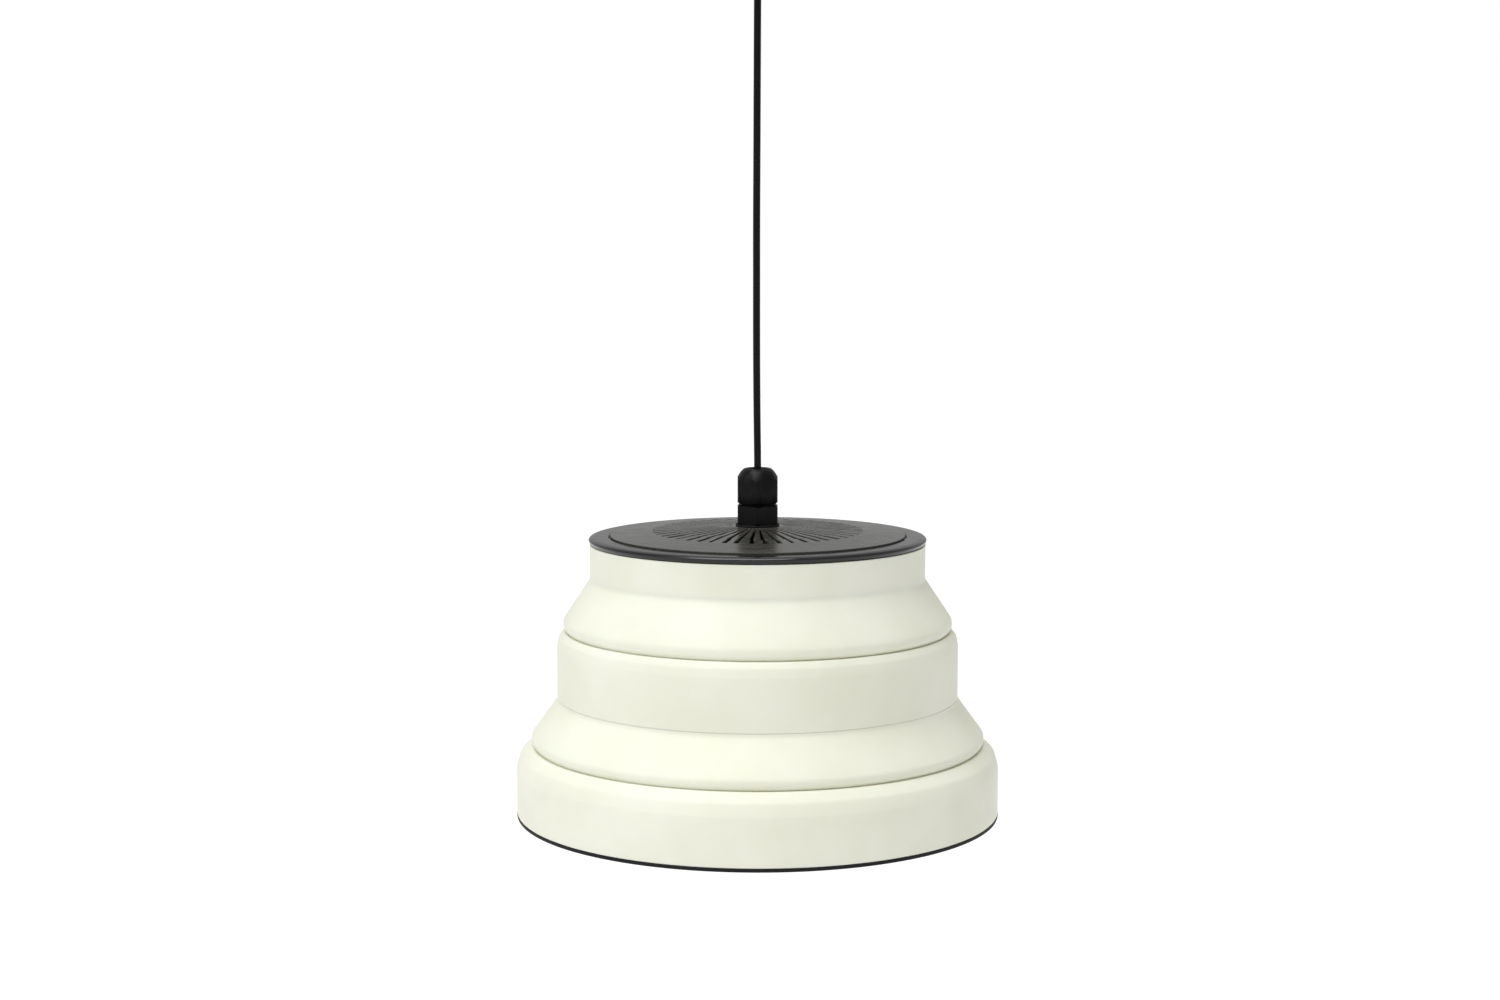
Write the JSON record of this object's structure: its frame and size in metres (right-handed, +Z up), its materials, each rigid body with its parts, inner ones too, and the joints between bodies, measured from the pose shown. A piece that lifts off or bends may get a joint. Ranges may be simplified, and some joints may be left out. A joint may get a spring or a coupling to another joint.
{
  "type": "hanging insect killer lamp",
  "caption": "Hanging insect killer and light: vented black cap with cable gland, killing grid and tray under a three-stage fold-up silicone shade.",
  "frame": {"origin": "middle of the ceiling face, on the top of the ceiling plate", "axes": "+Z up into the ceiling; +X through the two fixing screws; everything hangs towards -Z"},
  "size_m": [0.2302, 0.2302, 0.431],
  "materials": {
    "galvanised_steel": "zinc plated sheet",
    "black_cup": "satin moulded",
    "zinc_screw": "zinc plated",
    "terminal_plastic": "satin moulded",
    "black_nylon": "satin moulded nylon",
    "clear_nylon": "natural nylon",
    "cord_pvc": "smooth flexible PVC",
    "black_rubber": "moulded",
    "cap_black": "high gloss moulded ABS",
    "housing_black": "moulded ABS",
    "circuit_board": "solder mask on glass epoxy",
    "white_nylon": "moulded nylon",
    "transformer_tape": "wrapped in polyester tape",
    "capacitor_sleeve": "shrink sleeve",
    "white_board": "white solder mask",
    "white_diode": "phosphor in resin",
    "opal_lens": "opal moulded acrylic",
    "button_orange": "moulded",
    "post_aluminium": "extruded",
    "uv_diode": "resin lens",
    "clear_tube": "clear moulded polycarbonate",
    "bus_brass": "stamped",
    "insulator_cream": "moulded",
    "grid_steel": "drawn stainless wire",
    "silicone_cream": "moulded silicone, satin",
    "trim_black": "moulded"
  },
  "bodies": {
    "ceiling_fitting": {"ceiling_plate": "galvanised_steel", "ceiling_cup": "black_cup", "cup_screws": "zinc_screw", "terminal_block": "terminal_plastic"},
    "pendant": {"swivel_ball": "black_nylon", "cord_grip": "clear_nylon", "power_cord": "cord_pvc", "gland_nut": "black_nylon", "gland_seal": "black_rubber", "gland_body": "black_nylon", "gland_washer": "black_rubber", "gland_locknut": "black_nylon", "vent_cover": "cap_black", "cover_screws": "zinc_screw", "cap_ring": "cap_black", "cap_screws": "zinc_screw", "housing": "housing_black", "driver_board": "circuit_board", "cord_connector": "white_nylon", "hv_transformer": "transformer_tape", "capacitors": "capacitor_sleeve", "board_screws": "zinc_screw", "light_board": "white_board", "light_diodes": "white_diode", "light_lens": "opal_lens", "switch_dome": "black_rubber", "uv_post": "post_aluminium", "uv_diodes": "uv_diode", "lamp_tube": "clear_tube", "grid_bus_rings": "bus_brass", "upper_insulator": "insulator_cream", "live_bars": "grid_steel", "return_bars": "grid_steel", "lower_insulator": "insulator_cream", "guard_top_ring": "housing_black", "guard_bars": "housing_black", "guard_base": "housing_black", "guard_screws": "zinc_screw", "shade_collar": "silicone_cream", "shade_upper_web": "silicone_cream"},
    "middle_ring": {"shade_middle_band": "silicone_cream", "shade_lower_web": "silicone_cream"},
    "lower_ring": {"shade_lower_band": "silicone_cream", "bottom_trim": "trim_black"},
    "tray": {"catch_tray": "housing_black"},
    "button": {"push_button": "button_orange"}
  },
  "joints": [
    {"name": "pendant_swing", "type": "hinge", "parent": "ceiling_fitting", "child": "pendant", "pos_m": [0, 0, -0.026], "axis": [0, 1, 0], "range_deg": [-20, 20]},
    {"name": "upper_fold", "type": "slide", "parent": "pendant", "child": "middle_ring", "axis": [0, 0, 1], "range_m": [0, 0.042], "deforming": ["shade_upper_web"]},
    {"name": "lower_fold", "type": "slide", "parent": "middle_ring", "child": "lower_ring", "axis": [0, 0, 1], "range_m": [0, 0.042], "deforming": ["shade_lower_web"]},
    {"name": "tray_pull", "type": "slide", "parent": "pendant", "child": "tray", "axis": [0, 0, -1], "range_m": [0, 0.105]},
    {"name": "button_press", "type": "slide", "parent": "pendant", "child": "button", "axis": [0, 0, 1], "range_m": [0, 0.001], "stiffness_N_per_m": 800, "springref_m": -0.0005, "deforming": ["switch_dome"]}
  ]
}
